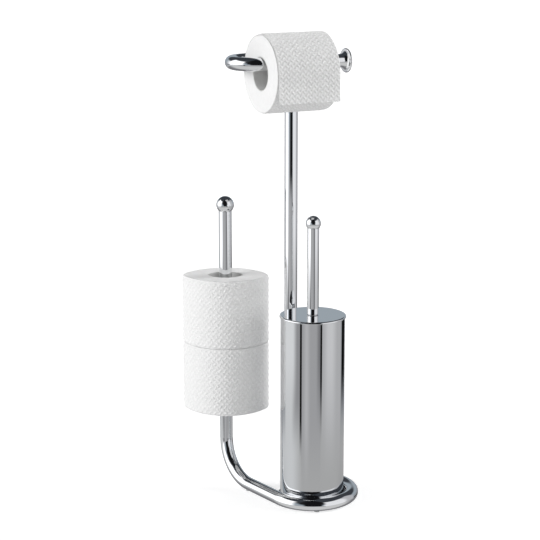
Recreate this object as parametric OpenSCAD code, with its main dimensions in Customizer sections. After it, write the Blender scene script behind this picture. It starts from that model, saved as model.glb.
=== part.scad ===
// Free-standing toilet roll and brush stand of bent round tube.
// Origin: on the floor, on the axis of the brush canister. +Z is up, the roll arm runs along X,
// and its capped end points to +X.

/* [Tube] */
// Outer diameter of the bent tube
tube_d = 18; // [16:0.5:20]
// Wall of the bent tube
tube_wall = 1.2; // [0.8:0.1:2]

/* [Base] */
// Angle that the base arm is turned from square to the roll arm
base_turn = 9.5; // [0:0.5:20]
// Distance from the ring's start to the axis of the spare rod, along the base arm
arm_reach = 129; // [110:1:160]
// Run, along +X, of the line from the ring's centre to its open end
ring_end_run = 3; // [2:1:4]
// Rise, along +Y, of the same line
ring_end_rise = 4; // [3:1:5]
// Centreline radius of the bend under the spare rod
spare_bend_r = 55; // [40:1:65]
// Centreline radius of the bend under the upright
riser_bend_r = 30.5; // [27:0.5:35]
// Height of the spare rod's tube
spare_rod_top = 393; // [380:1:430]
// Diameter of the ball on the spare rod
spare_ball_d = 24.5; // [22:0.5:30]
// Height of the joint in the upright
coupling_z = 150; // [110:1:200]

/* [Roll arm] */
// Height of the roll arm's centreline
arm_z = 606; // [570:0.5:680]
// Distance between the centrelines of the arm's two legs
leg_gap = 63.3; // [62:0.1:70]
// Centreline radius of the bend at the top of the upright
top_bend_r = 40; // [27:1:50]
// Distance from the upright back to the centre of the U-bend
back_reach = 68.8; // [60:0.2:90]
// Distance from the upright forward to the end of the tube
front_reach = 40.5; // [32:0.5:60]
// Diameter of the flared cap
cap_d = 32.5; // [28:0.5:38]
// Length of the cap's flare
cap_flare = 7; // [6:0.5:10]
// Thickness of the cap's rim
cap_rim = 3; // [1.5:0.5:4]

/* [Canister] */
// Outer diameter of the canister
canister_d = 88; // [80:1:100]
// Height of the canister
canister_h = 256; // [220:1:300]
// Wall of the canister
canister_wall = 0.8; // [0.6:0.1:1.5]
// Wall of the inner cup
cup_wall = 1.4; // [1:0.1:2]
// Depth that the inner cup stops below the canister's mouth
cup_drop = 12; // [11:1:30]

/* [Lid and brush] */
// Thickness of the lid's turned-down rim
lid_rim_t = 0.8; // [0.4:0.1:1]
// Thickness of the lid's plate
lid_t = 1; // [0.8:0.1:1.5]
// Height of the lid with its turned-down rim
lid_rim_h = 3; // [2.5:0.1:5]
// Diameter of the handle
handle_d = 16; // [14:0.5:20]
// Wall of the handle tube
handle_wall = 1; // [0.8:0.1:1.5]
// Length of the handle tube
handle_len = 120; // [100:1:140]
// Diameter of the ball on the handle
handle_ball_d = 20.5; // [18:0.5:26]
// Diameter of the stem
stem_d = 6; // [5:0.5:8]
// Diameter over the bristles
brush_d = 72; // [60:1:76]
// Length of the bristled head
brush_head_len = 78; // [60:1:90]
// Tufts around the head
tufts_around = 20; // [14:1:24]
// Rows of tufts
tuft_rows = 18; // [12:1:20]

/* [Paper rolls] */
// Diameter of the hanging roll
roll_d = 104; // [90:1:105]
// Length of the hanging roll
roll_len = 90; // [86:1:100]
// Inner diameter of its cardboard core
core_d = 43; // [40:0.5:46]
// Wall of the cardboard cores
core_wall = 1; // [0.8:0.1:1.5]
// Gap between the hanging roll and the start of the cap
roll_to_cap = 27.5; // [10:0.5:35]
// Length of the loose sheet below the roll's axis
sheet_hang = 35; // [20:1:80]
// Thickness of the loose sheet
sheet_t = 0.6; // [0.4:0.1:1]
// Long diameter of the squashed spare rolls
spare_w = 122; // [110:1:125]
// Short diameter of the squashed spare rolls
spare_b = 95; // [85:1:96]
// Length of a spare roll
spare_len = 96; // [90:1:100]
// Long inner diameter of a squashed spare core
spare_core_w = 46.5; // [44:0.5:48]
// Short inner diameter of a squashed spare core
spare_core_b = 37; // [34:0.5:40]
// Angle of the spare rolls' long diameter
spare_turn = -28; // [-40:1:0]
// How far the spare rolls' ends are pinched: 1 is an ellipse, 2 comes to a sharp edge
roll_pinch = 1.4; // [1:0.05:1.8]
// The same for their cores
core_pinch = 1.25; // [1:0.05:1.6]
// Height of the flange under the spare rolls
rest_z = 109.5; // [100:0.5:140]

/* [Support] */
// Thickness of the anti-slip pad
pad_t = 3; // [2:0.5:5]
// Thickness of the plate under the canister
plate_t = 3; // [2:0.5:4]
// Clearance between the tube's underside and the floor
tube_lift = 1; // [0.5:0.25:2]

/* [Hidden] */
$fn = 96;

// Clearances
press_gap = 0.04;
hole_gap = 0.05;
soft_gap = 0.3;
ring_gap = 2.5;
lid_gap = 0.7;
weld_gap = 0.1;
cut = 1;

tube_r = tube_d / 2;
bore_r = tube_r - tube_wall;
base_z = tube_r + tube_lift;
ring_r = canister_d / 2 + ring_gap + tube_r;
ring_end = atan2(ring_end_rise, ring_end_run);
upright_a = ring_end + base_turn;
upright_x = ring_r * cos(upright_a) - riser_bend_r * sin(upright_a);
upright_y = ring_r * sin(upright_a) + riser_bend_r * cos(upright_a);
rod_y = upright_y - leg_gap;
rod_end_x = upright_x + front_reach;

// Plug ends of the balls and the cap
plug_len = 16;
plug_chamfer = 1.5;
flare_turn = 50;

// Coupling in the upright
spigot_len = 60;
screw_d = 5;
screw_len = 6;
screw_z = coupling_z + spigot_len / 4;
screw_key_d = 2.5;
screw_key_depth = 2.5;

// Plate and pads under the stand
plate_top = pad_t + plate_t;
plate_r = ring_r - sqrt(pow(tube_r, 2) - pow(base_z - plate_top, 2)) - weld_gap;
pad_inset = 5;
foot_d = 7;
foot_h = 4;
foot_angles = [240, 330, 52];
foot_arm_y = arm_reach - spare_bend_r;

// Canister and cup
canister_r = canister_d / 2;
canister_top = plate_top + canister_h;
lip_w = 3;
dish_t = 1;
dish_flange = 6;
dish_r = canister_r - canister_wall - press_gap;
dish_z = plate_top + canister_wall;
cup_z = dish_z + dish_t;
cup_floor_t = 1.6;
cup_r = dish_r - dish_t - soft_gap;
cup_top = canister_top - cup_drop;
cup_lip_t = 2;
cup_lip_r = canister_r - canister_wall - soft_gap;
cup_draft = 0.4;
cup_round_r = 5;

// Lid, handle and stem
lid_top = canister_top + lid_t;
lid_r = canister_r + lid_gap + lid_rim_t;
lid_edge_r = 2;
insert_t = 2.5;
insert_ring_h = 9;
insert_ring_t = 1.5;
insert_ring_gap = 0.5;
insert_r = canister_r - canister_wall - insert_ring_gap;
hub_r = 9;
hub_h = 8;
nut_af = 10;
nut_h = 5;
stem_r = stem_d / 2;
stem_in_handle = 15;
handle_r = handle_d / 2;
handle_bore_r = handle_r - handle_wall;
handle_top = lid_top + handle_len;
handle_edge_r = 0.8;
handle_foot_gap = 0.8;
handle_plug_len = 18;

// Brush head
head_floor_gap = 12;
head_cap_h = 6;
head_cap_r = 10;
core_rod_r = 8;
head_z = cup_z + cup_floor_t + head_floor_gap;
bristle_z = head_z + head_cap_h;
bristle_top = bristle_z + brush_head_len;
collar_h = 4;
neck_h = 14;
neck_r = 5;
head_top = bristle_top + collar_h + neck_h;
stem_in_core = 30;
backing_r = 10.5;
backing_bore_r = 8.6;
tip_share = 0.3;
end_row_share = 0.8;

// Hanging roll
core_wall_r = core_d / 2 + core_wall;
roll_drop = core_d / 2 - tube_r - soft_gap;
roll_axis_z = arm_z - roll_drop;
roll_x1 = rod_end_x - roll_to_cap;
roll_x0 = roll_x1 - roll_len;
sheet_r = roll_d / 2 + soft_gap;
sheet_edge_gap = 0.5;

// Spare rolls
oval_steps = 72;
rest_flange_t = 2.5;
rest_flange_d = 58;
rest_hub_d = 24;
rest_hub_h = 12;
spare_z0 = rest_z + soft_gap;
spare_z1 = spare_z0 + spare_len + soft_gap;

CHROME = "silver";
STEEL = "gray";
PLASTIC = "whitesmoke";
RUBBER = "dimgray";
SILICONE = "lightgray";
PAPER = "white";
CARDBOARD = "darkgray";

// Tube runs: a straight length along +Z, and a bend in the XY plane from +X towards +Y
module tube_section() {
    difference() {
        circle(tube_r);
        circle(bore_r);
    }
}

module tube_run(length) {
    linear_extrude(length) tube_section();
}

module tube_bend(bend_r, sweep) {
    rotate_extrude(angle = sweep) translate([bend_r, 0]) tube_section();
}

// A bend from level along +Y to upright, with its start at the origin
module rising_bend(bend_r) {
    translate([0, 0, bend_r]) rotate([90, 0, 90]) rotate([0, 0, -90]) tube_bend(bend_r, 90);
}

// Places its child on the axis of the spare rod, at floor level
module at_spare_rod() {
    rotate([0, 0, base_turn]) translate([-ring_r, arm_reach, 0]) children();
}

// Places its child on the axis of the upright, at floor level
module at_upright() {
    translate([upright_x, upright_y, 0]) children();
}

// Plug that fits in a round bore, from z = -length up to z = 0, with a chamfered lower end
module end_plug(r, length) {
    rotate_extrude() polygon([
        [0, -length],
        [r - plug_chamfer, -length],
        [r, -length + plug_chamfer],
        [r, 0],
        [0, 0]
    ]);
}

// Ball whose underside is cut flat where it meets a tube end at z = 0
module ball_finial(ball_d, seat_r, plug_r, length) {
    ball_z = sqrt(pow(ball_d / 2, 2) - pow(seat_r, 2));
    union() {
        difference() {
            translate([0, 0, ball_z]) sphere(d = ball_d);
            translate([0, 0, -ball_d / 2]) cube([ball_d, ball_d, ball_d], center = true);
        }
        end_plug(plug_r, length);
    }
}

// Outline of a squashed roll or core, pinched where its long diameter ends
function oval(w, b, pinch) = [
    for (i = [0 : oval_steps - 1])
        let (a = 360 * i / oval_steps, s = sin(a))
        [w / 2 * cos(a), b / 2 * sign(s) * pow(abs(s), pinch)]
];

// The ring is open from the riser round to the base arm
module base_ring() {
    reach = 2 * (ring_r + tube_d);
    difference() {
        translate([0, 0, base_z]) rotate_extrude() translate([ring_r, 0]) tube_section();
        intersection() {
            translate([-reach / 2, 0, 0]) cube(reach);
            rotate([0, 0, ring_end]) translate([-reach / 2, 0, 0]) cube(reach);
        }
    }
}

module base_frame() {
    color(CHROME) rotate([0, 0, base_turn]) union() {
        translate([-ring_r, arm_reach, base_z + spare_bend_r])
            tube_run(spare_rod_top - base_z - spare_bend_r);
        translate([-ring_r, arm_reach - spare_bend_r, base_z]) rising_bend(spare_bend_r);
        translate([-ring_r, 0, base_z]) rotate([-90, 0, 0]) tube_run(arm_reach - spare_bend_r);
        base_ring();
        rotate([0, 0, ring_end]) {
            translate([ring_r, 0, base_z]) rising_bend(riser_bend_r);
            translate([ring_r, riser_bend_r, base_z + riser_bend_r])
                tube_run(coupling_z - base_z - riser_bend_r);
        }
    }
}

module spare_rod_finial() {
    color(CHROME) at_spare_rod() translate([0, 0, spare_rod_top])
        ball_finial(spare_ball_d, tube_r, bore_r - press_gap, plug_len);
}

module roll_rest() {
    color(CHROME) at_spare_rod() translate([0, 0, rest_z]) difference() {
        union() {
            translate([0, 0, -rest_flange_t]) cylinder(d = rest_flange_d, h = rest_flange_t);
            cylinder(d = rest_hub_d, h = rest_hub_h);
        }
        translate([0, 0, -rest_flange_t - cut])
            cylinder(r = tube_r + press_gap, h = rest_flange_t + rest_hub_h + 2 * cut);
    }
}

module support_plate() {
    color(STEEL) translate([0, 0, pad_t]) cylinder(r = plate_r, h = plate_t);
}

module plate_pad() {
    color(RUBBER) cylinder(r = plate_r - pad_inset, h = pad_t);
}

// The solid that the bent tube fills near the floor, grown by a clearance
module tube_space(gap) {
    translate([0, 0, base_z]) rotate_extrude() translate([ring_r, 0]) circle(tube_r + gap);
}

module floor_pads() {
    color(SILICONE) rotate([0, 0, base_turn]) {
        for (a = foot_angles) {
            difference() {
                rotate([0, 0, a]) translate([ring_r, 0, 0]) cylinder(d = foot_d, h = foot_h);
                tube_space(press_gap);
            }
        }
        difference() {
            translate([-ring_r, foot_arm_y, 0]) cylinder(d = foot_d, h = foot_h);
            translate([-ring_r, foot_arm_y - foot_d, base_z]) rotate([-90, 0, 0])
                cylinder(r = tube_r + press_gap, h = 2 * foot_d);
        }
    }
}

// Hole for the grub screw, from the upright's axis out through its back
module screw_hole(r) {
    translate([0, 0, screw_z]) rotate([-90, 0, 0]) cylinder(r = r, h = tube_r + cut);
}

module upright_spigot() {
    color(STEEL) at_upright() difference() {
        translate([0, 0, coupling_z - spigot_len / 2])
            cylinder(r = bore_r - press_gap, h = spigot_len);
        screw_hole(screw_d / 2 + hole_gap);
    }
}

module spigot_screw() {
    color(STEEL) at_upright() translate([0, tube_r - screw_len, screw_z]) rotate([-90, 0, 0])
        difference() {
            cylinder(d = screw_d, h = screw_len);
            translate([0, 0, screw_len - screw_key_depth])
                cylinder(d = screw_key_d, h = screw_key_depth + cut, $fn = 6);
        }
}

module upper_frame() {
    color(CHROME) at_upright() difference() {
        union() {
            translate([0, 0, coupling_z]) tube_run(arm_z - top_bend_r - coupling_z);
            translate([-top_bend_r, 0, arm_z - top_bend_r]) rotate([90, 0, 0]) tube_bend(top_bend_r, 90);
            translate([-back_reach, 0, arm_z]) rotate([0, 90, 0]) tube_run(back_reach - top_bend_r);
            translate([-back_reach, -leg_gap / 2, arm_z])
                rotate([0, 0, 90]) tube_bend(leg_gap / 2, 180);
            translate([-back_reach, -leg_gap, arm_z])
                rotate([0, 90, 0]) tube_run(back_reach + front_reach);
        }
        screw_hole(screw_d / 2 + hole_gap);
    }
}

// Half of the cap's section: the flare turns out from the tube by flare_turn and ends on a rounded rim
module cap_profile() {
    rim_r = cap_d / 2;
    round_r = cap_rim / 2;
    flare_r = cap_flare / sin(flare_turn);
    union() {
        difference() {
            square([tube_r + flare_r * (1 - cos(flare_turn)), cap_flare]);
            translate([tube_r + flare_r, 0]) circle(flare_r);
        }
        translate([0, cap_flare]) square([rim_r - round_r, cap_rim]);
        translate([rim_r - round_r, cap_flare + round_r]) circle(round_r);
    }
}

module arm_end_cap() {
    color(CHROME) translate([rod_end_x, rod_y, arm_z]) rotate([0, 90, 0]) union() {
        rotate_extrude() cap_profile();
        end_plug(bore_r - press_gap, plug_len);
    }
}

module canister_shell() {
    color(CHROME) translate([0, 0, plate_top]) difference() {
        cylinder(r = canister_r, h = canister_h);
        translate([0, 0, canister_wall])
            cylinder(r = canister_r - canister_wall, h = canister_h);
        translate([0, 0, -cut])
            cylinder(r = canister_r - canister_wall - lip_w, h = canister_wall + 2 * cut);
    }
}

module canister_base() {
    color(STEEL) translate([0, 0, dish_z]) difference() {
        cylinder(r = dish_r, h = dish_t + dish_flange);
        translate([0, 0, dish_t]) cylinder(r = dish_r - dish_t, h = dish_flange + cut);
    }
}

// Half of a cup's section from a floor up to the mouth and on above it: its wall leans out by the draft
// and runs into the floor in a round
module cup_section(mouth_r, floor_z, round_r, above) {
    round_z = floor_z + round_r;
    round_x = mouth_r - (cup_top - round_z) * tan(cup_draft) - round_r / cos(cup_draft);
    union() {
        polygon([
            [0, floor_z],
            [round_x, floor_z],
            [round_x, round_z],
            [round_x + round_r * cos(cup_draft), round_z - round_r * sin(cup_draft)],
            [mouth_r, cup_top],
            [mouth_r, cup_top + above],
            [0, cup_top + above]
        ]);
        translate([round_x, round_z]) circle(round_r);
    }
}

module drip_cup() {
    color(PLASTIC) rotate_extrude() difference() {
        union() {
            cup_section(cup_r, cup_z, cup_round_r, 0);
            translate([0, cup_top - cup_lip_t]) square([cup_lip_r, cup_lip_t]);
        }
        cup_section(cup_r - cup_wall, cup_z + cup_floor_t, cup_round_r - cup_wall, cut);
    }
}

// Half of the lid's section from its top down, with a rounded shoulder and a rounded lower edge
module lid_profile() {
    round_r = lid_rim_t / 2;
    rim_z = round_r - lid_rim_h;
    union() {
        difference() {
            union() {
                translate([0, rim_z]) square([lid_r - lid_edge_r, -rim_z]);
                translate([0, rim_z]) square([lid_r, -rim_z - lid_edge_r]);
                intersection() {
                    translate([lid_r - lid_edge_r, -lid_edge_r]) circle(lid_edge_r);
                    translate([0, -lid_edge_r]) square([lid_r, lid_edge_r]);
                }
            }
            translate([0, rim_z - cut]) square([lid_r - lid_rim_t, cut - rim_z - lid_t]);
            translate([0, rim_z - cut]) square([stem_r + hole_gap, 2 * cut - rim_z]);
        }
        translate([lid_r - round_r, rim_z]) circle(round_r);
    }
}

module brush_lid() {
    color(CHROME) translate([0, 0, lid_top]) rotate_extrude() lid_profile();
}

module lid_insert() {
    color(PLASTIC) translate([0, 0, canister_top]) difference() {
        union() {
            translate([0, 0, -insert_t]) cylinder(r = insert_r, h = insert_t);
            difference() {
                translate([0, 0, -insert_ring_h]) cylinder(r = insert_r, h = insert_ring_h);
                translate([0, 0, -insert_ring_h - cut])
                    cylinder(r = insert_r - insert_ring_t, h = insert_ring_h + 2 * cut);
            }
            translate([0, 0, -hub_h]) cylinder(r = hub_r, h = hub_h);
        }
        translate([0, 0, -hub_h - cut]) cylinder(r = stem_r + hole_gap, h = hub_h + 2 * cut);
    }
}

// The handle's tube stands on its plug, a groove above the lid
module brush_handle() {
    length = handle_len - handle_foot_gap;
    color(CHROME) translate([0, 0, lid_top + handle_foot_gap]) rotate_extrude() difference() {
        union() {
            translate([0, handle_edge_r]) square([handle_r, length - handle_edge_r]);
            square([handle_r - handle_edge_r, length]);
            translate([handle_r - handle_edge_r, handle_edge_r]) circle(handle_edge_r);
        }
        translate([0, -cut]) square([handle_bore_r, length + 2 * cut]);
    }
}

module handle_finial() {
    color(CHROME) translate([0, 0, handle_top])
        ball_finial(handle_ball_d, handle_r, handle_bore_r - press_gap, plug_len);
}

module handle_plug() {
    color(STEEL) translate([0, 0, lid_top]) difference() {
        cylinder(r = handle_bore_r - press_gap, h = handle_plug_len);
        translate([0, 0, -cut]) cylinder(r = stem_r + hole_gap, h = stem_in_handle + cut);
    }
}

module brush_stem() {
    color(STEEL) translate([0, 0, head_top - stem_in_core])
        cylinder(r = stem_r, h = lid_top + stem_in_handle - head_top + stem_in_core);
}

module stem_nut() {
    color(STEEL) translate([0, 0, canister_top - hub_h - nut_h]) difference() {
        cylinder(d = nut_af / cos(30), h = nut_h, $fn = 6);
        translate([0, 0, -cut]) cylinder(r = stem_r + hole_gap, h = nut_h + 2 * cut);
    }
}

module brush_core() {
    color(PLASTIC) difference() {
        rotate_extrude() polygon([
            [0, head_z],
            [core_rod_r, head_z],
            [head_cap_r, head_z + head_cap_h / 2],
            [head_cap_r, bristle_z],
            [core_rod_r, bristle_z],
            [core_rod_r, bristle_top],
            [head_cap_r, bristle_top],
            [head_cap_r, bristle_top + collar_h],
            [neck_r, head_top],
            [0, head_top]
        ]);
        translate([0, 0, head_top - stem_in_core]) cylinder(r = stem_r + hole_gap, h = stem_in_core + cut);
    }
}

// Bristles: the backing is a sleeve with a grid of cells on its outside, and one tuft of three sides
// grows out of half of each cell, so that tufts and backing are one closed surface.
function on_ring(r, i, z) = [r * cos(360 * i / tufts_around), r * sin(360 * i / tufts_around), z];
function grid_id(i, j) = j * tufts_around + i % tufts_around;
function row_z(j) = bristle_z + brush_head_len * j / tuft_rows;
function row_r(j) =
    let (u = (j + 0.5) / tuft_rows * 2 - 1)
    brush_d / 2 * (1 - (1 - end_row_share) * pow(u, 4));
function tuft_root(i, j) = [
    on_ring(backing_r, i, row_z(j)),
    on_ring(backing_r, i + 1, row_z(j)),
    on_ring(backing_r, i + 1, row_z(j + 1))
];
function tuft_tip(i, j) =
    let (
        root = tuft_root(i, j),
        mid = (root[0] + root[1] + root[2]) / 3,
        reach = row_r(j) / norm([mid.x, mid.y]),
        tip = [mid.x * reach, mid.y * reach, mid.z]
    )
    [for (p = root) tip + tip_share * (p - mid)];

module brush_bristles() {
    grid = [for (j = [0 : tuft_rows], i = [0 : tufts_around - 1]) on_ring(backing_r, i, row_z(j))];
    tips = [for (j = [0 : tuft_rows - 1], i = [0 : tufts_around - 1], p = tuft_tip(i, j)) p];
    bores = [for (j = [0, tuft_rows], i = [0 : tufts_around - 1]) on_ring(backing_bore_r, i, row_z(j))];
    tip_0 = len(grid);
    bore_0 = tip_0 + len(tips);
    bore_1 = bore_0 + tufts_around;
    cells = [for (j = [0 : tuft_rows - 1], i = [0 : tufts_around - 1]) [i, j]];
    flats = [for (c = cells) [grid_id(c[0], c[1]), grid_id(c[0], c[1] + 1), grid_id(c[0] + 1, c[1] + 1)]];
    sides = [
        for (c = cells)
            let (
                t = tip_0 + 3 * (c[1] * tufts_around + c[0]),
                root = [grid_id(c[0], c[1]), grid_id(c[0] + 1, c[1]), grid_id(c[0] + 1, c[1] + 1)]
            )
            for (k = [0 : 2])
                let (m = (k + 1) % 3)
                for (face = [[root[k], t + m, root[m]], [root[k], t + k, t + m]]) face
    ];
    ends = [for (n = [0 : len(cells) - 1]) [tip_0 + 3 * n, tip_0 + 3 * n + 2, tip_0 + 3 * n + 1]];
    rims = [
        for (i = [0 : tufts_around - 1])
            let (m = (i + 1) % tufts_around)
            for (face = [
                [grid_id(i, 0), grid_id(m, 0), bore_0 + i],
                [bore_0 + i, grid_id(m, 0), bore_0 + m],
                [grid_id(i, tuft_rows), bore_1 + i, grid_id(m, tuft_rows)],
                [bore_1 + i, bore_1 + m, grid_id(m, tuft_rows)],
                [bore_0 + i, bore_0 + m, bore_1 + i],
                [bore_0 + m, bore_1 + m, bore_1 + i]
            ]) face
    ];
    color(PLASTIC) polyhedron(
        points = concat(grid, tips, bores),
        faces = concat(flats, sides, ends, rims)
    );
}

// A ring along X, centred on the hanging roll's axis
module roll_ring(outer_r, inner_r) {
    translate([roll_x0, rod_y, roll_axis_z]) rotate([0, 90, 0]) difference() {
        cylinder(r = outer_r, h = roll_len);
        translate([0, 0, -cut]) cylinder(r = inner_r, h = roll_len + 2 * cut);
    }
}

module hanging_roll() {
    color(PAPER) roll_ring(roll_d / 2, core_wall_r + hole_gap);
}

module hanging_roll_core() {
    color(CARDBOARD) roll_ring(core_wall_r, core_d / 2);
}

// The loose end lies over the front of the roll, from its top, and hangs free below the axis
module hanging_sheet() {
    outer_r = sheet_r + sheet_t;
    color(PAPER) translate([roll_x0 + sheet_edge_gap, rod_y, roll_axis_z]) rotate([90, 0, 90])
        linear_extrude(roll_len - 2 * sheet_edge_gap) union() {
            intersection() {
                difference() {
                    circle(outer_r);
                    circle(sheet_r);
                }
                translate([-outer_r - cut, 0]) square(outer_r + cut);
            }
            translate([-outer_r, -sheet_hang]) square([sheet_t, sheet_hang]);
        }
}

module oval_ring(z) {
    at_spare_rod() translate([0, 0, z]) rotate([0, 0, spare_turn - base_turn]) linear_extrude(spare_len)
        difference() {
            children(0);
            children(1);
        }
}

// Outline of a spare core, grown by its wall or more
module core_oval(grown) {
    polygon(oval(spare_core_w + 2 * grown, spare_core_b + 2 * grown, core_pinch));
}

module spare_roll(z) {
    color(PAPER) oval_ring(z) {
        polygon(oval(spare_w, spare_b, roll_pinch));
        core_oval(core_wall + hole_gap);
    }
}

module spare_core(z) {
    color(CARDBOARD) oval_ring(z) {
        core_oval(core_wall);
        core_oval(0);
    }
}

base_frame();
spare_rod_finial();
roll_rest();
support_plate();
plate_pad();
floor_pads();
upright_spigot();
spigot_screw();
upper_frame();
arm_end_cap();
canister_shell();
canister_base();
drip_cup();
brush_lid();
lid_insert();
brush_handle();
handle_finial();
handle_plug();
brush_stem();
stem_nut();
brush_core();
brush_bristles();
hanging_roll();
hanging_roll_core();
hanging_sheet();
spare_roll(spare_z0);  // spare_roll_lower
spare_core(spare_z0);  // spare_core_lower
spare_roll(spare_z1);  // spare_roll_upper
spare_core(spare_z1);  // spare_core_upper
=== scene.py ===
"""Looks of the toilet roll and brush stand: chrome tube, mirror canister, embossed paper rolls."""

import math
import random

import bmesh
import bpy
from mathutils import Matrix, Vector


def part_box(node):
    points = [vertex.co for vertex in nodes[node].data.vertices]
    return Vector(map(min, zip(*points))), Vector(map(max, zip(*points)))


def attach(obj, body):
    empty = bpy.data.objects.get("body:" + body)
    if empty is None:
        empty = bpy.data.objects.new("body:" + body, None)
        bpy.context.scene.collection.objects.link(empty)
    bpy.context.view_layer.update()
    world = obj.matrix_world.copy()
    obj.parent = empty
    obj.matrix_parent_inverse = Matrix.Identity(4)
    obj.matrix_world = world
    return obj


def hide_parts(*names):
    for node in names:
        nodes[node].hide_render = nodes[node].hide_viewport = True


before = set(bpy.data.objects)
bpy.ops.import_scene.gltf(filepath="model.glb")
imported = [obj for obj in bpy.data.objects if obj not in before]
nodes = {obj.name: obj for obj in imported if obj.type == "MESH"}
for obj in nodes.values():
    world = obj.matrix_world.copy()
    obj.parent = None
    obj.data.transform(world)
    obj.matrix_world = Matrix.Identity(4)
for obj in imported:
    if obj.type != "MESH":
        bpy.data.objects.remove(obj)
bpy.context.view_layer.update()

MM = 0.001
FULL_TURN = 2 * math.pi
SEED = 7

# Camera, in the object's frame
CAMERA_AZIMUTH = -27.74
CAMERA_TURN = -26.25
CAMERA_DISTANCE = 2.241
CAMERA_HEIGHT = 0.8328
CAMERA_PITCH = -12.77
CAMERA_LENS = 113.15
SENSOR = 36.0

# Emboss of the paper: a basket of short dashes that cross each other, one in each cell
EMBOSS_ALONG = 8.1 * MM
EMBOSS_AROUND = 6.85 * MM
SHEET_EMBOSS_DEPTH = 1.1 * MM
ROLL_EMBOSS_DEPTH = 0.8 * MM
# Size of the spare rolls' emboss over that of the roll in use
SPARE_EMBOSS = 1.08
# Half width of a dash as a share of its cell, and its half length in half widths
DASH_SHARE = 0.32
DASH_REACH = 1.7
# Painted shade in the emboss's grooves: brightness of pressed paper over that of raised paper
PAINTED_GROOVE_SHADE = 0.95
# Distance between the points of the paper's surface
EMBOSS_STEP = 0.75 * MM

# Rolls: rounded edges, wavy layers at the ends, and the step of the last layer's end
EDGE_ROUND = 1.5 * MM
END_RINGS = 22
END_WAVE = 0.12 * MM
END_HALF_WAVES = 9
TAIL_STEP = 0.25 * MM
BORE_GAP = 0.05 * MM
LOOP_STEPS = 4000

# Loose sheet, with a torn edge of small teeth
SHEET_THICKNESS = 0.25 * MM
SHEET_OUT = 0.45 * MM
SHEET_RIPPLE = 0.5 * MM
SHEET_RIPPLES = 1.5
SHEET_RIPPLE_START = 0.1
SHEET_CURL = 0.8 * MM
SHEET_FADE = 4 * EDGE_ROUND
TOOTH_PITCH = 3.2 * MM
TOOTH_DEPTH = 1.1 * MM
TOOTH_SHORTEST = 0.4
TORN_ROWS = 3

# Spare rolls, squashed into ovals: their outside, and their bore round the core
SPARE_W = 122 * MM
SPARE_B = 95 * MM
SPARE_PINCH = 1.4
SPARE_CORE_W = 48.6 * MM
SPARE_CORE_B = 39.1 * MM
CORE_PINCH = 1.25
SPARE_TURN = math.radians(-28)
SPARE_WAVE = 26
SPARE_WAVE_SKEW = 3

# Folds in the ends of the spare rolls. They start and are full at shares of the way out to the edge.
CREASE_TURN = math.radians(9)
CREASE_WIDTH = 8 * MM
CREASE_EDGE = 0.8 * MM
CREASE_RIGHT = 2.2 * MM
CREASE_LEFT = 0.45 * MM
CREASE_START = 0.3
CREASE_FULL = 0.6

# Brush: rows of bunches, with the head a little narrower at its ends
BRISTLE_ROWS = 34
BRISTLE_BUNCHES = 20
BRISTLES_A_BUNCH = 3
BRISTLE_R = 0.3 * MM
BRISTLE_SIDES = 3
BRISTLE_TIP_SHARE = 0.8
HEAD_TAPER = 0.2
HEAD_ROUNDNESS = 4
BACKING_R = 10.5 * MM
BACKING_BORE_R = 8.6 * MM
BACKING_SIDES = 48

# How far a bristle strays from its bunch: angles at base and tip, heights, and the shortest reach
BASE_SWAY = 0.03
TIP_SWAY = 0.09
BASE_SHIFT = 0.3 * MM
TIP_SHIFT = 1.6 * MM
SHORTEST_REACH = 0.97

# Strength of the surround's light on matte surfaces, low down and overhead, and the elevation
# round which one turns into the other
AMBIENT = 0.51
AMBIENT_OVERHEAD = 0.31
OVERHEAD_ELEVATION = 45
OVERHEAD_SOFTNESS = 30
FLOOR_HALF = 30.0
FLOOR_GLOW = 0.5
WHITE = (1, 1, 1, 1)

# Values between which most of a noise pattern lies
NOISE_LOW = 0.3
NOISE_HIGH = 0.7

# Sockets of a colour mix, by number, because its sockets of other types have the same names
MIX_FIRST = 6
MIX_SECOND = 7
MIX_RESULT = 2


def clamp(x, low=0.0, high=1.0):
    return max(low, min(high, x))


def smooth(x):
    x = clamp(x)
    return x * x * (3 - 2 * x)


def wave(angle):
    """A sine wave between 0 and 1."""
    return 0.5 + 0.5 * math.sin(angle)


def polar(r, angle):
    return Vector((r * math.cos(angle), r * math.sin(angle)))


# Shader nodes
def new_material(name, settings):
    mat = bpy.data.materials.new(name)
    mat.use_nodes = True
    bsdf = mat.node_tree.nodes["Principled BSDF"]
    for socket, value in settings.items():
        bsdf.inputs[socket].default_value = value
    return mat, mat.node_tree, bsdf


def add(tree, kind, **values):
    """A new node. Each value goes to the node's property of that name, or else to its input."""
    made = tree.nodes.new(kind)
    for key, value in values.items():
        if hasattr(made, key):
            setattr(made, key, value)
        else:
            made.inputs[key].default_value = value
    return made


def link(tree, source, target):
    tree.links.new(source, target)


def noise(tree, scale, detail=4.0, stretch=(1, 1, 1)):
    """Noise in object space, so that it is the same size on every piece."""
    coords = add(tree, "ShaderNodeTexCoord")
    mapping = add(tree, "ShaderNodeMapping", Scale=stretch)
    link(tree, coords.outputs["Object"], mapping.inputs["Vector"])
    made = add(tree, "ShaderNodeTexNoise", Scale=scale, Detail=detail)
    link(tree, mapping.outputs["Vector"], made.inputs["Vector"])
    return made.outputs["Fac"]


def ranged(tree, value, low, high, start=NOISE_LOW, end=NOISE_HIGH):
    """A value that lies between start and end, brought to between low and high."""
    made = add(tree, "ShaderNodeMapRange")
    for key, number in zip(("From Min", "From Max", "To Min", "To Max"), (start, end, low, high)):
        made.inputs[key].default_value = number
    link(tree, value, made.inputs["Value"])
    return made.outputs["Result"]


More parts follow.
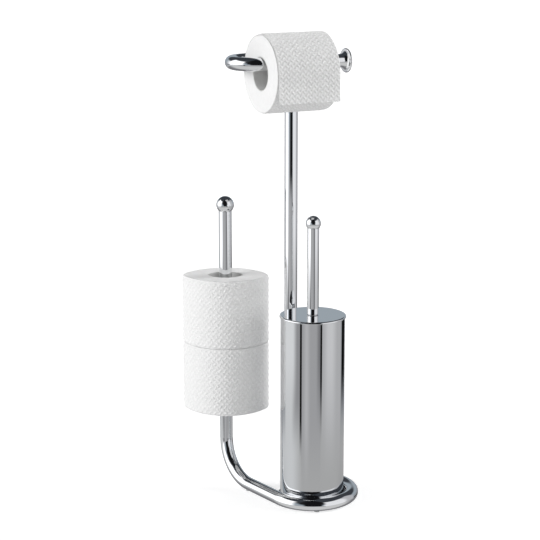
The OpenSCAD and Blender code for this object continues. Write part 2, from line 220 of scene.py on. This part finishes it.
def math_node(tree, operation, first, second=None):
    made = add(tree, "ShaderNodeMath", operation=operation)
    for socket, value in zip(made.inputs, (first, second)):
        if isinstance(value, (int, float)):
            socket.default_value = value
        elif value is not None:
            link(tree, value, socket)
    return made.outputs["Value"]


def bump(tree, bsdf, height, distance):
    made = add(tree, "ShaderNodeBump", Strength=1.0, Distance=distance)
    link(tree, height, made.inputs["Height"])
    link(tree, made.outputs["Normal"], bsdf.inputs["Normal"])


def two_colours(tree, bsdf, value, dark, light):
    ramp = add(tree, "ShaderNodeValToRGB")
    ramp.color_ramp.elements[0].color = (*dark, 1)
    ramp.color_ramp.elements[1].color = (*light, 1)
    link(tree, value, ramp.inputs["Fac"])
    link(tree, ramp.outputs["Color"], bsdf.inputs["Base Color"])


# Materials
def chrome_material():
    """Bright plating: a mirror with the faintest wipe marks and a few softer patches."""
    mat, tree, bsdf = new_material("chrome", {
        "Metallic": 1.0,
        "Base Color": (0.86, 0.87, 0.88, 1),
    })
    patches = noise(tree, scale=30.0, detail=3.0)
    link(tree, ranged(tree, patches, low=0.02, high=0.045), bsdf.inputs["Roughness"])
    return mat


def steel_material():
    """Turned steel of the inner parts, with fine rings round the vertical axis."""
    mat, tree, bsdf = new_material("satin_steel", {"Metallic": 1.0})
    rings = noise(tree, scale=900.0, detail=2.0, stretch=(0.05, 0.05, 1.0))
    two_colours(tree, bsdf, rings, dark=(0.42, 0.42, 0.43), light=(0.6, 0.6, 0.61))
    link(tree, ranged(tree, rings, low=0.3, high=0.45), bsdf.inputs["Roughness"])
    bump(tree, bsdf, rings, distance=0.02 * MM)
    return mat


def plastic_material():
    """White moulded plastic with a fine spark-eroded grain."""
    mat, tree, bsdf = new_material("moulded_plastic", {})
    grain = noise(tree, scale=2500.0, detail=2.0)
    clouds = noise(tree, scale=40.0)
    two_colours(tree, bsdf, clouds, dark=(0.82, 0.82, 0.81), light=(0.88, 0.88, 0.87))
    link(tree, ranged(tree, grain, low=0.38, high=0.5), bsdf.inputs["Roughness"])
    bump(tree, bsdf, grain, distance=0.03 * MM)
    return mat


def bristle_material():
    """White nylon that lets a little light through."""
    mat, tree, bsdf = new_material("nylon_bristle", {
        "Roughness": 0.35,
        "Subsurface Weight": 0.1,
        "Subsurface Scale": 0.5 * MM,
    })
    clouds = noise(tree, scale=300.0)
    two_colours(tree, bsdf, clouds, dark=(0.8, 0.8, 0.79), light=(0.9, 0.9, 0.89))
    return mat


def rubber_material():
    """Black rubber with a fine matte grain and a little dust."""
    mat, tree, bsdf = new_material("black_rubber", {})
    dust = noise(tree, scale=60.0)
    grain = noise(tree, scale=1500.0)
    two_colours(tree, bsdf, dust, dark=(0.018, 0.018, 0.019), light=(0.04, 0.04, 0.041))
    link(tree, ranged(tree, grain, low=0.7, high=0.85), bsdf.inputs["Roughness"])
    bump(tree, bsdf, grain, distance=0.04 * MM)
    return mat


def silicone_material():
    """Clear soft pads, a little cloudy inside."""
    mat, tree, bsdf = new_material("clear_silicone", {
        "Roughness": 0.25,
        "Transmission Weight": 0.5,
        "IOR": 1.41,
    })
    clouds = noise(tree, scale=200.0)
    two_colours(tree, bsdf, clouds, dark=(0.74, 0.75, 0.76), light=(0.84, 0.85, 0.86))
    return mat


def paper_material(name, light):
    """Tissue: matte and mottled, with painted shade that greys it a little where the emboss presses it,
    and a very fine crepe.
    """
    mat, tree, bsdf = new_material(name, {
        "Roughness": 0.95,
        "Specular IOR Level": 0.15,
        "Sheen Weight": 0.12,
        "Sheen Roughness": 0.6,
        "Subsurface Weight": 0.12,
        "Subsurface Radius": (1, 1, 1),
        "Subsurface Scale": 1.5 * MM,
    })
    mottle = ranged(tree, noise(tree, scale=220.0, detail=6.0), low=0.97, high=1.0)
    # Painted shade: paper pressed into the emboss's grooves is coloured a little darker
    height = add(tree, "ShaderNodeAttribute", attribute_name="raised").outputs["Fac"]
    groove_shade = ranged(tree, height, low=PAINTED_GROOVE_SHADE, high=1.0, start=0, end=1)
    two_colours(tree, bsdf, math_node(tree, "MULTIPLY", mottle, groove_shade), dark=(0, 0, 0), light=light)
    bump(tree, bsdf, noise(tree, scale=2600.0, detail=3.0), distance=0.05 * MM)
    return mat


def cardboard_material():
    """Plain grey board with long fibres."""
    mat, tree, bsdf = new_material("grey_board", {"Roughness": 0.85})
    fibres = noise(tree, scale=350.0, detail=5.0, stretch=(1, 1, 0.3))
    two_colours(tree, bsdf, fibres, dark=(0.64, 0.64, 0.63), light=(0.74, 0.74, 0.73))
    bump(tree, bsdf, noise(tree, scale=1800.0), distance=0.06 * MM)
    return mat


chrome = chrome_material()
steel = steel_material()
plastic = plastic_material()
bristle = bristle_material()
rubber = rubber_material()
silicone = silicone_material()
paper = paper_material("embossed_tissue", (0.9, 0.9, 0.9))
# Painted shade: the cut ends are the same tissue as the side, coloured a little darker to hold down the
# light they catch
shaded_paper_end = paper_material("cut_tissue_ends_shaded", (0.86, 0.86, 0.86))
board = cardboard_material()

FINISHES = {
    chrome: ["base_frame", "spare_rod_finial", "roll_rest", "upper_frame", "arm_end_cap",
             "canister_shell", "brush_lid", "brush_handle", "handle_finial"],
    steel: ["support_plate", "upright_spigot", "spigot_screw", "canister_base", "handle_plug",
            "brush_stem", "stem_nut"],
    plastic: ["drip_cup", "lid_insert", "brush_core"],
    rubber: ["plate_pad"],
    silicone: ["floor_pads"],
    board: ["hanging_roll_core", "spare_core_lower", "spare_core_upper"],
}
for mat, names in FINISHES.items():
    for name in names:
        nodes[name].data.materials.clear()
        nodes[name].data.materials.append(mat)


# Meshes
def add_piece(name, mesh, mats, body, slot, *replaced):
    obj = bpy.data.objects.new(name, mesh)
    bpy.context.scene.collection.objects.link(obj)
    for mat in mats:
        mesh.materials.append(mat)
    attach(obj, body)
    if replaced:
        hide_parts(*replaced)
    return obj


def finish_mesh(name, verts, faces, marks=None, flat=False, raised=None):
    """A mesh from points and faces. marks holds the material index of each face, raised the emboss
    of each point, from 0 where the paper is pressed to 1, which the paper's colour uses to paint shade
    in the grooves."""
    mesh = bpy.data.meshes.new(name)
    mesh.from_pydata(verts, [], faces)
    mesh.validate()
    if marks:
        mesh.polygons.foreach_set("material_index", marks)
    if not flat:
        mesh.polygons.foreach_set("use_smooth", [True] * len(mesh.polygons))
    if raised:
        mesh.attributes.new("raised", "FLOAT", "POINT").data.foreach_set("value", raised)
    mesh.update()
    return mesh


def emboss(around, along):
    """Emboss height at two distances round and along a roll: dashes that alternate in direction."""
    a = around / EMBOSS_AROUND + along / EMBOSS_ALONG
    b = around / EMBOSS_AROUND - along / EMBOSS_ALONG
    i, j = math.floor(a), math.floor(b)
    x, y = a - i - 0.5, b - j - 0.5
    if (i + j) % 2:
        x, y = y, x
    return smooth(1 - abs(x) / DASH_SHARE) * smooth(DASH_REACH - abs(y) / DASH_SHARE)


def whole_repeats(length, size):
    """The scale that fits a whole number of emboss repeats into the way round a roll."""
    return round(length / (EMBOSS_AROUND * size)) * EMBOSS_AROUND / length


def oval_point(w, b, pinch, turn, share):
    """A point on an oval that is pinched at the ends of its long diameter."""
    t = FULL_TURN * share
    x = w / 2 * math.cos(t)
    y = b / 2 * math.copysign(abs(math.sin(t)) ** pinch, math.sin(t))
    return Vector((
        x * math.cos(turn) - y * math.sin(turn),
        x * math.sin(turn) + y * math.cos(turn),
    ))


def loop_runs(point_at):
    """Fine points of a closed curve, and the distance along it to each of them."""
    points = [point_at(i / LOOP_STEPS) for i in range(LOOP_STEPS + 1)]
    runs = [0.0]
    for start, stop in zip(points, points[1:]):
        runs.append(runs[-1] + (stop - start).length)
    return points, runs


def even_loop(points, runs, count):
    """Points at even distances along the same curve."""
    out = []
    i = 0
    for k in range(count):
        target = runs[-1] * k / count
        while runs[i + 1] < target:
            i += 1
        share = (target - runs[i]) / (runs[i + 1] - runs[i])
        out.append(points[i].lerp(points[i + 1], share))
    return out


def loop_normals(loop):
    out = []
    for i in range(len(loop)):
        along = loop[(i + 1) % len(loop)] - loop[i - 1]
        out.append(Vector((along.y, -along.x)).normalized())
    return out


def roll_mesh(name, outer_at, inner_at, length, place, depth, size, end_height):
    """A paper roll from a closed outline: embossed side, softly rounded edges, layered ends, bore.
    depth and size are the emboss's; place(x, y, along) gives a point in the object's frame;
    end_height(p, share) is how far an end's surface lies below its highest level."""
    points, runs = loop_runs(outer_at)
    around = runs[-1]
    count = round(around / EMBOSS_STEP)
    outer = even_loop(points, runs, count)
    inner = even_loop(*loop_runs(inner_at), count)
    normals = loop_normals(outer)
    scale = whole_repeats(around, size)
    rows = round(length / EMBOSS_STEP)
    verts, faces, marks, raised = [], [], [], []

    def end_ring(share, high_end):
        for start, stop in zip(inner, outer):
            p = start.lerp(stop, share)
            dip = end_height(p, share)
            verts.append(place(p.x, p.y, length - dip if high_end else dip))
            raised.append(1.0)

    def side_ring(along):
        edge = min(along, length - along)
        tuck = EDGE_ROUND * (1 - smooth(edge / EDGE_ROUND / 2)) ** 2
        fade = smooth(edge / EDGE_ROUND)
        for i in range(count):
            height = 1 - fade * (1 - emboss(around * i / count * scale, along / size))
            spiral = TAIL_STEP * (1 - i / count)
            p = outer[i] - normals[i] * (depth * (1 - height) + spiral + tuck)
            verts.append(place(p.x, p.y, along))
            raised.append(height)

    # Low end from the bore outwards, then the side, then the high end back to the bore
    shares = [k / END_RINGS for k in range(END_RINGS)]
    for share in shares:
        end_ring(share, high_end=False)
    for j in range(rows + 1):
        side_ring(length * j / rows)
    for share in reversed(shares):
        end_ring(share, high_end=True)

    bands = len(verts) // count
    for band in range(bands):
        r0, r1 = band * count, (band + 1) % bands * count
        is_end = band < END_RINGS or END_RINGS + rows <= band < bands - 1
        for i in range(count):
            m = (i + 1) % count
            faces.append((r0 + i, r0 + m, r1 + m, r1 + i))
            marks.append(int(is_end))
    mesh = finish_mesh(name, verts, faces, marks, raised=raised)
    fixed = bmesh.new()
    fixed.from_mesh(mesh)
    bmesh.ops.recalc_face_normals(fixed, faces=fixed.faces)
    fixed.to_mesh(mesh)
    fixed.free()
    return mesh


def make_hanging_roll():
    low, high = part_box("hanging_roll")
    centre = (low + high) / 2
    radius = (high.z - low.z) / 2
    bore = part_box("hanging_roll_core")
    bore_r = (bore[1].z - bore[0].z) / 2 + BORE_GAP

    def circle(r):
        return lambda share: polar(r, FULL_TURN * share + math.pi / 2)

    def place(x, y, along):
        return Vector((low.x + along, centre.y + x, centre.z + y))

    def end_height(p, _):
        r = p.length / radius
        return END_WAVE * wave(END_HALF_WAVES * r * math.pi + math.atan2(p.y, p.x))

    mesh = roll_mesh("roll_in_use", circle(radius), circle(bore_r), high.x - low.x, place,
                     ROLL_EMBOSS_DEPTH, 1.0, end_height)
    add_piece("roll_in_use", mesh, (paper, shaded_paper_end), "hanging_roll", "paper", "hanging_roll")


def make_spare_roll(level):
    low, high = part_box(f"spare_roll_{level}")
    centre = (low + high) / 2

    def outer(share):
        return oval_point(SPARE_W, SPARE_B, SPARE_PINCH, SPARE_TURN, share)

    def inner(share):
        return oval_point(SPARE_CORE_W, SPARE_CORE_B, CORE_PINCH, SPARE_TURN, share)

    def place(x, y, along):
        return Vector((centre.x + x, centre.y + y, low.z + along))

    # Squashing leaves a fold at each end of the oval, steep on one side and sloping on the other
    def end_height(p, share):
        along = p.x * math.cos(CREASE_TURN) + p.y * math.sin(CREASE_TURN)
        across = -p.x * math.sin(CREASE_TURN) + p.y * math.cos(CREASE_TURN)
        side = math.copysign(across, across * along)
        fold = math.exp(-side / CREASE_WIDTH) if side > 0 else math.exp(side / CREASE_EDGE)
        way_out = abs(along) * 2 / SPARE_W
        crease = fold * smooth((way_out - CREASE_START) / (CREASE_FULL - CREASE_START))
        depth = CREASE_RIGHT if along > 0 else CREASE_LEFT
        layers = wave(SPARE_WAVE * share + SPARE_WAVE_SKEW * along / SPARE_W)
        return depth * crease + END_WAVE * layers

    name = f"spare_paper_{level}"
    mesh = roll_mesh(name, outer, inner, high.z - low.z, place, ROLL_EMBOSS_DEPTH,
                     SPARE_EMBOSS, end_height)
    add_piece(name, mesh, (paper, shaded_paper_end), f"spare_{level}", "paper", f"spare_roll_{level}")


def make_loose_sheet():
    """The loose end: from the top of the roll over its front, then straight down to a torn edge."""
    low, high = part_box("hanging_sheet")
    roll_low, roll_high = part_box("hanging_roll")
    axis_y = (roll_low.y + roll_high.y) / 2
    axis_z = (roll_low.z + roll_high.z) / 2
    radius = axis_y - low.y - SHEET_OUT
    arc = radius * math.pi / 2
    drop = axis_z - low.z
    total = arc + drop
    width = high.x - low.x
    columns = round(width / EMBOSS_STEP)
    rows = round(total / EMBOSS_STEP)
    verts, faces, raised = [], [], []
    rng = random.Random(SEED)
    tears = [rng.uniform(TOOTH_SHORTEST, 1.0) for _ in range(columns + 1)]

    def point(u, run, lift):
        hang = max(0.0, run - arc)
        swing = smooth(hang / drop)
        phase = FULL_TURN * (u / width * SHEET_RIPPLES + SHEET_RIPPLE_START)
        ripple = SHEET_RIPPLE * math.sin(phase) * swing
        x = low.x + u
        if run < arc:
            t = run / radius
            r = radius + lift
            return Vector((x, axis_y - r * math.sin(t), axis_z + r * math.cos(t)))
        return Vector((x, axis_y - radius - lift - ripple - SHEET_CURL * swing ** 3, axis_z - hang))

    for side in (1, -1):
        for j in range(rows + 1):
            for i in range(columns + 1):
                u = width * i / columns
                tooth = abs((u / TOOTH_PITCH) % 1 - 0.5) * 2
                cut = TOOTH_DEPTH * tooth * tears[i] * smooth((j - rows + TORN_ROWS) / TORN_ROWS)
                run = total * j / rows - cut
                edge = min(u, width - u)
                height = emboss(run, u) * smooth(2 * edge / EDGE_ROUND) * smooth(run / SHEET_FADE)
                verts.append(point(u, run, height * SHEET_EMBOSS_DEPTH + side * SHEET_THICKNESS / 2))
                raised.append(height)
    stride = columns + 1
    back = stride * (rows + 1)
    for j in range(rows):
        for i in range(columns):
            k = j * stride + i
            faces.append((k, k + stride, k + stride + 1, k + 1))
            faces.append((back + k, back + k + 1, back + k + stride + 1, back + k + stride))
    # The edge of the sheet, once round
    rim = list(range(columns))
    rim += [j * stride + columns for j in range(rows)]
    rim += [rows * stride + i for i in range(columns, 0, -1)]
    rim += [j * stride for j in range(rows, 0, -1)]
    for n, k in enumerate(rim):
        m = rim[(n + 1) % len(rim)]
        faces.append((k, m, back + m, back + k))
    mesh = finish_mesh("loose_end", verts, faces, raised=raised)
    piece = add_piece("loose_end", mesh, (paper,), "sheet_end", "paper", "hanging_sheet")


def make_bristles():
    """Fine bristles in bunches on the backing sleeve, each a thin strand with a blunt tip."""
    low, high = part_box("brush_bristles")
    reach = (high.x - low.x) / 2
    height = high.z - low.z
    rng = random.Random(SEED)
    verts, faces = [], []

    def strand(base, tip):
        axis = (tip - base).normalized()
        side = axis.cross(Vector((0, 0, 1))).normalized()
        up = axis.cross(side)
        start = len(verts)
        second = start + BRISTLE_SIDES
        for end, size in ((base, BRISTLE_R), (tip, BRISTLE_TIP_SHARE * BRISTLE_R)):
            for k in range(BRISTLE_SIDES):
                a = FULL_TURN * k / BRISTLE_SIDES
                verts.append(end + side * (math.cos(a) * size) + up * (math.sin(a) * size))
        faces.append(tuple(reversed(range(start, second))))
        faces.append(tuple(range(second, second + BRISTLE_SIDES)))
        for k in range(BRISTLE_SIDES):
            m = (k + 1) % BRISTLE_SIDES
            faces.append((start + k, start + m, second + m, second + k))

    for row in range(BRISTLE_ROWS):
        share = (row + 0.5) / BRISTLE_ROWS
        z = low.z + height * share
        r_out = reach * (1 - HEAD_TAPER * (2 * share - 1) ** HEAD_ROUNDNESS)
        for k in range(BRISTLE_BUNCHES):
            a = FULL_TURN * (k + 0.5 * (row % 2)) / BRISTLE_BUNCHES
            for _ in range(BRISTLES_A_BUNCH):
                base_a = a + rng.uniform(-BASE_SWAY, BASE_SWAY)
                tip_a = a + rng.uniform(-TIP_SWAY, TIP_SWAY)
                base_z = z + rng.uniform(-BASE_SHIFT, BASE_SHIFT)
                tip_z = clamp(z + rng.uniform(-TIP_SHIFT, TIP_SHIFT), low.z, high.z)
                out = r_out * rng.uniform(SHORTEST_REACH, 1.0)
                base = Vector((*polar(BACKING_R, base_a), base_z))
                tip = Vector((*polar(out, tip_a), tip_z))
                strand(base, tip)

    # The sleeve's four rings: 0 and 1 are outside, low and high, and 2 and 3 are in the bore
    first = len(verts)
    for r in (BACKING_R, BACKING_BORE_R):
        for z in (low.z, high.z):
            for k in range(BACKING_SIDES):
                verts.append(Vector((*polar(r, FULL_TURN * k / BACKING_SIDES), z)))
    for r0, r1 in ((0, 1), (1, 3), (3, 2), (2, 0)):
        start, stop = first + r0 * BACKING_SIDES, first + r1 * BACKING_SIDES
        for k in range(BACKING_SIDES):
            m = (k + 1) % BACKING_SIDES
            faces.append((start + k, start + m, stop + m, stop + k))
    mesh = finish_mesh("bristles", verts, faces, flat=True)
    add_piece("bristles", mesh, (bristle,), "brush", "plastic", "brush_bristles")


make_hanging_roll()
make_spare_roll("lower")
make_spare_roll("upper")
make_loose_sheet()
make_bristles()


# Stage: a pale floor, a white surround, and the cards of a product studio for the chrome to mirror.
# A card is (azimuths, their softness, elevations, their softness, colour), each card over those before
# it. Azimuth 0 is the side that the photograph is taken from, and it grows to the right.
ALL_ROUND = (-400, 400)
BACKGROUND = (0.345, 0.39, 0.43)
CARDS = [
    (ALL_ROUND, (1, 1), (-95, -14), (1, 3), (0.42, 0.42, 0.42)),
    ((-150, -55), (8, 26), (-95, -16), (1, 3), (0.62, 0.63, 0.64)),
    (ALL_ROUND, (1, 1), (-95, -26), (1, 4), (0.62, 0.62, 0.62)),
    (ALL_ROUND, (1, 1), (21, 95), (5, 1), (0.045, 0.05, 0.058)),
    ((-185, -112), (1, 20), (-82, -22), (8, 5), (0.2, 0.2, 0.21)),
    ((112, 185), (20, 1), (-82, -22), (8, 5), (0.2, 0.2, 0.21)),
    ((-185, -114), (1, 6), (-18, 0), (1, 4), (0.32, 0.33, 0.35)),
    ((121, 185), (4, 1), (-18, 0), (1, 4), (0.3, 0.31, 0.33)),
    ((-126, -100), (16, 8), (-6, 20), (2, 6), (1.0, 1.0, 1.02)),
    ((-75, -40), (10, 3), (-18, -11), (1, 2), (0.3, 0.3, 0.31)),
    ((-114, -66), (5, 11), (-17, -10), (1.5, 2), (0.72, 0.73, 0.74)),
    ((-112, -46), (4, 8), (-13, 46), (1.3, 4), (1.35, 1.35, 1.37)),
    ((-40, 30), (2, 2), (-19, -9), (1.5, 2), (0.37, 0.37, 0.38)),
    ((-28, -14), (9, 9), (-19, -9), (1.5, 2), (0.5, 0.5, 0.51)),
    ((18, 28), (7, 2), (-17, -9), (1.5, 2), (0.2, 0.2, 0.21)),
    ((34, 121), (2, 5), (-18.5, -10), (1.5, 2), (0.45, 0.45, 0.46)),
    ((48, 86), (12, 15), (-17.5, -10), (2.5, 2), (0.61, 0.61, 0.62)),
    ((74, 121), (6, 5), (-12, 44), (1.5, 4), (0.5, 0.5, 0.52)),
    ((30, 92), (5, 8), (-12.5, 44), (1.5, 4), (0.86, 0.86, 0.88)),
    ((-32, 34), (6, 6), (8, 75), (6, 8), (0.015, 0.015, 0.016)),
    ((-19, 26), (6, 5), (-10, 95), (0.6, 1), (0.008, 0.008, 0.009)),
    ((-46, -38.5), (0.8, 0.8), (-18.5, -13), (0.7, 1), (0.008, 0.008, 0.008)),
    ((27.5, 34.5), (0.8, 0.8), (-17.5, -10.5), (1.2, 1), (0.008, 0.008, 0.008)),
    ((127, 156), (2, 2), (-17, -12), (1, 1), (0.004, 0.004, 0.004)),
]

# Name, azimuth as for the cards, elevation, strength and spread of each light
LIGHTS = [
    ("key_light", -72, 18, 1.8, 34),
    ("front_light", 10, 10, 0.3, 60),
    ("side_light", 84, 10, 0.8, 40),
    ("back_light", 112, 22, 1.5, 24),
]


def step_up(tree, value, edge, softness):
    """0 below the edge and 1 above it."""
    made = add(tree, "ShaderNodeMapRange", interpolation_type="SMOOTHSTEP")
    made.inputs["From Min"].default_value = edge - softness
    made.inputs["From Max"].default_value = edge + softness
    link(tree, value, made.inputs["Value"])
    return made.outputs["Result"]


def window(tree, value, span, softness):
    """1 inside a span of values and 0 outside it."""
    rise = step_up(tree, value, span[0], softness[0])
    fall = math_node(tree, "SUBTRACT", 1.0, step_up(tree, value, span[1], softness[1]))
    return math_node(tree, "MULTIPLY", rise, fall)


def directions(tree):
    """Azimuth and elevation, in degrees, of the ray that reaches the surround."""
    coords = add(tree, "ShaderNodeTexCoord")
    turned = add(tree, "ShaderNodeMapping", Rotation=(0, 0, math.radians(-CAMERA_AZIMUTH)))
    link(tree, coords.outputs["Generated"], turned.inputs["Vector"])
    parts = add(tree, "ShaderNodeSeparateXYZ")
    link(tree, turned.outputs["Vector"], parts.inputs["Vector"])
    toward = math_node(tree, "MULTIPLY", parts.outputs["Y"], -1.0)
    azimuth = math_node(tree, "ARCTAN2", parts.outputs["X"], toward)
    elevation = math_node(tree, "ARCSINE", parts.outputs["Z"])
    return math_node(tree, "DEGREES", azimuth), math_node(tree, "DEGREES", elevation)


def card_colour(tree, azimuth, elevation):
    """The colour that the chrome mirrors in each direction."""
    colour = None
    for azimuths, azimuth_softness, elevations, elevation_softness, level in CARDS:
        mask = math_node(
            tree, "MULTIPLY",
            window(tree, azimuth, azimuths, azimuth_softness),
            window(tree, elevation, elevations, elevation_softness),
        )
        mix = add(tree, "ShaderNodeMix", data_type="RGBA")
        link(tree, mask, mix.inputs["Factor"])
        if colour is None:
            mix.inputs[MIX_FIRST].default_value = (*BACKGROUND, 1)
        else:
            link(tree, colour, mix.inputs[MIX_FIRST])
        mix.inputs[MIX_SECOND].default_value = (*level, 1)
        colour = mix.outputs[MIX_RESULT]
    return colour


def choose(tree, factor, first, second):
    """The first shader where the factor is 0, and the second where it is 1."""
    made = add(tree, "ShaderNodeMixShader")
    for socket, source in zip(made.inputs, (factor, first, second)):
        link(tree, source, socket)
    return made.outputs["Shader"]


def make_world():
    """White for the camera, the cards for mirrored rays, and soft light for everything else."""
    world = bpy.data.worlds.new("studio")
    bpy.context.scene.world = world
    world.use_nodes = True
    tree = world.node_tree
    tree.nodes.clear()
    azimuth, elevation = directions(tree)
    cards = add(tree, "ShaderNodeBackground")
    link(tree, card_colour(tree, azimuth, elevation), cards.inputs["Color"])
    white = add(tree, "ShaderNodeBackground", Color=WHITE)
    soft = add(tree, "ShaderNodeBackground", Color=WHITE)
    overhead = step_up(tree, elevation, OVERHEAD_ELEVATION, OVERHEAD_SOFTNESS)
    strength = ranged(tree, overhead, low=AMBIENT, high=AMBIENT_OVERHEAD, start=0, end=1)
    link(tree, strength, soft.inputs["Strength"])
    path = add(tree, "ShaderNodeLightPath").outputs
    lit = choose(tree, path["Is Glossy Ray"], soft.outputs["Background"], cards.outputs["Background"])
    seen = choose(tree, path["Is Camera Ray"], lit, white.outputs["Background"])
    out = add(tree, "ShaderNodeOutputWorld")
    link(tree, seen, out.inputs["Surface"])


def make_floor():
    """A pale floor that keeps the shadows and glows a little for the camera."""
    mesh = bpy.data.meshes.new("floor")
    corners = [(x * FLOOR_HALF, y * FLOOR_HALF, 0) for x, y in ((-1, -1), (1, -1), (1, 1), (-1, 1))]
    mesh.from_pydata(corners, [], [(0, 1, 2, 3)])
    floor = bpy.data.objects.new("floor", mesh)
    bpy.context.scene.collection.objects.link(floor)
    floor.visible_glossy = False
    mat, tree, bsdf = new_material("pale_floor", {
        "Roughness": 0.9,
        "Specular IOR Level": 0.0,
        "Emission Color": WHITE,
    })
    clouds = noise(tree, scale=3.0)
    two_colours(tree, bsdf, clouds, dark=(0.79, 0.79, 0.79), light=(0.81, 0.81, 0.81))
    path = add(tree, "ShaderNodeLightPath").outputs
    glow = math_node(tree, "MULTIPLY", path["Is Camera Ray"], FLOOR_GLOW)
    link(tree, glow, bsdf.inputs["Emission Strength"])
    mesh.materials.append(mat)


def make_light(name, azimuth, elevation, strength, spread):
    """A very soft light from far away, so that it falls evenly on the floor."""
    data = bpy.data.lights.new(name, "SUN")
    data.angle = math.radians(spread)
    data.energy = strength
    light = bpy.data.objects.new(name, data)
    bpy.context.scene.collection.objects.link(light)
    a = math.radians(CAMERA_AZIMUTH + azimuth)
    e = math.radians(elevation)
    back = Vector((math.sin(a) * math.cos(e), -math.cos(a) * math.cos(e), math.sin(e)))
    light.rotation_euler = (-back).to_track_quat("-Z", "Y").to_euler()
    light.visible_glossy = False


def make_camera():
    data = bpy.data.cameras.new("camera")
    data.lens = CAMERA_LENS
    data.sensor_width = SENSOR
    camera = bpy.data.objects.new("camera", data)
    bpy.context.scene.collection.objects.link(camera)
    azimuth = math.radians(CAMERA_AZIMUTH)
    camera.location = (
        math.sin(azimuth) * CAMERA_DISTANCE,
        -math.cos(azimuth) * CAMERA_DISTANCE,
        CAMERA_HEIGHT,
    )
    camera.rotation_euler = (math.radians(90 + CAMERA_PITCH), 0, math.radians(CAMERA_TURN))
    bpy.context.scene.camera = camera


make_world()
make_floor()
for light in LIGHTS:
    make_light(*light)
make_camera()
bpy.context.scene.view_settings.view_transform = "Standard"
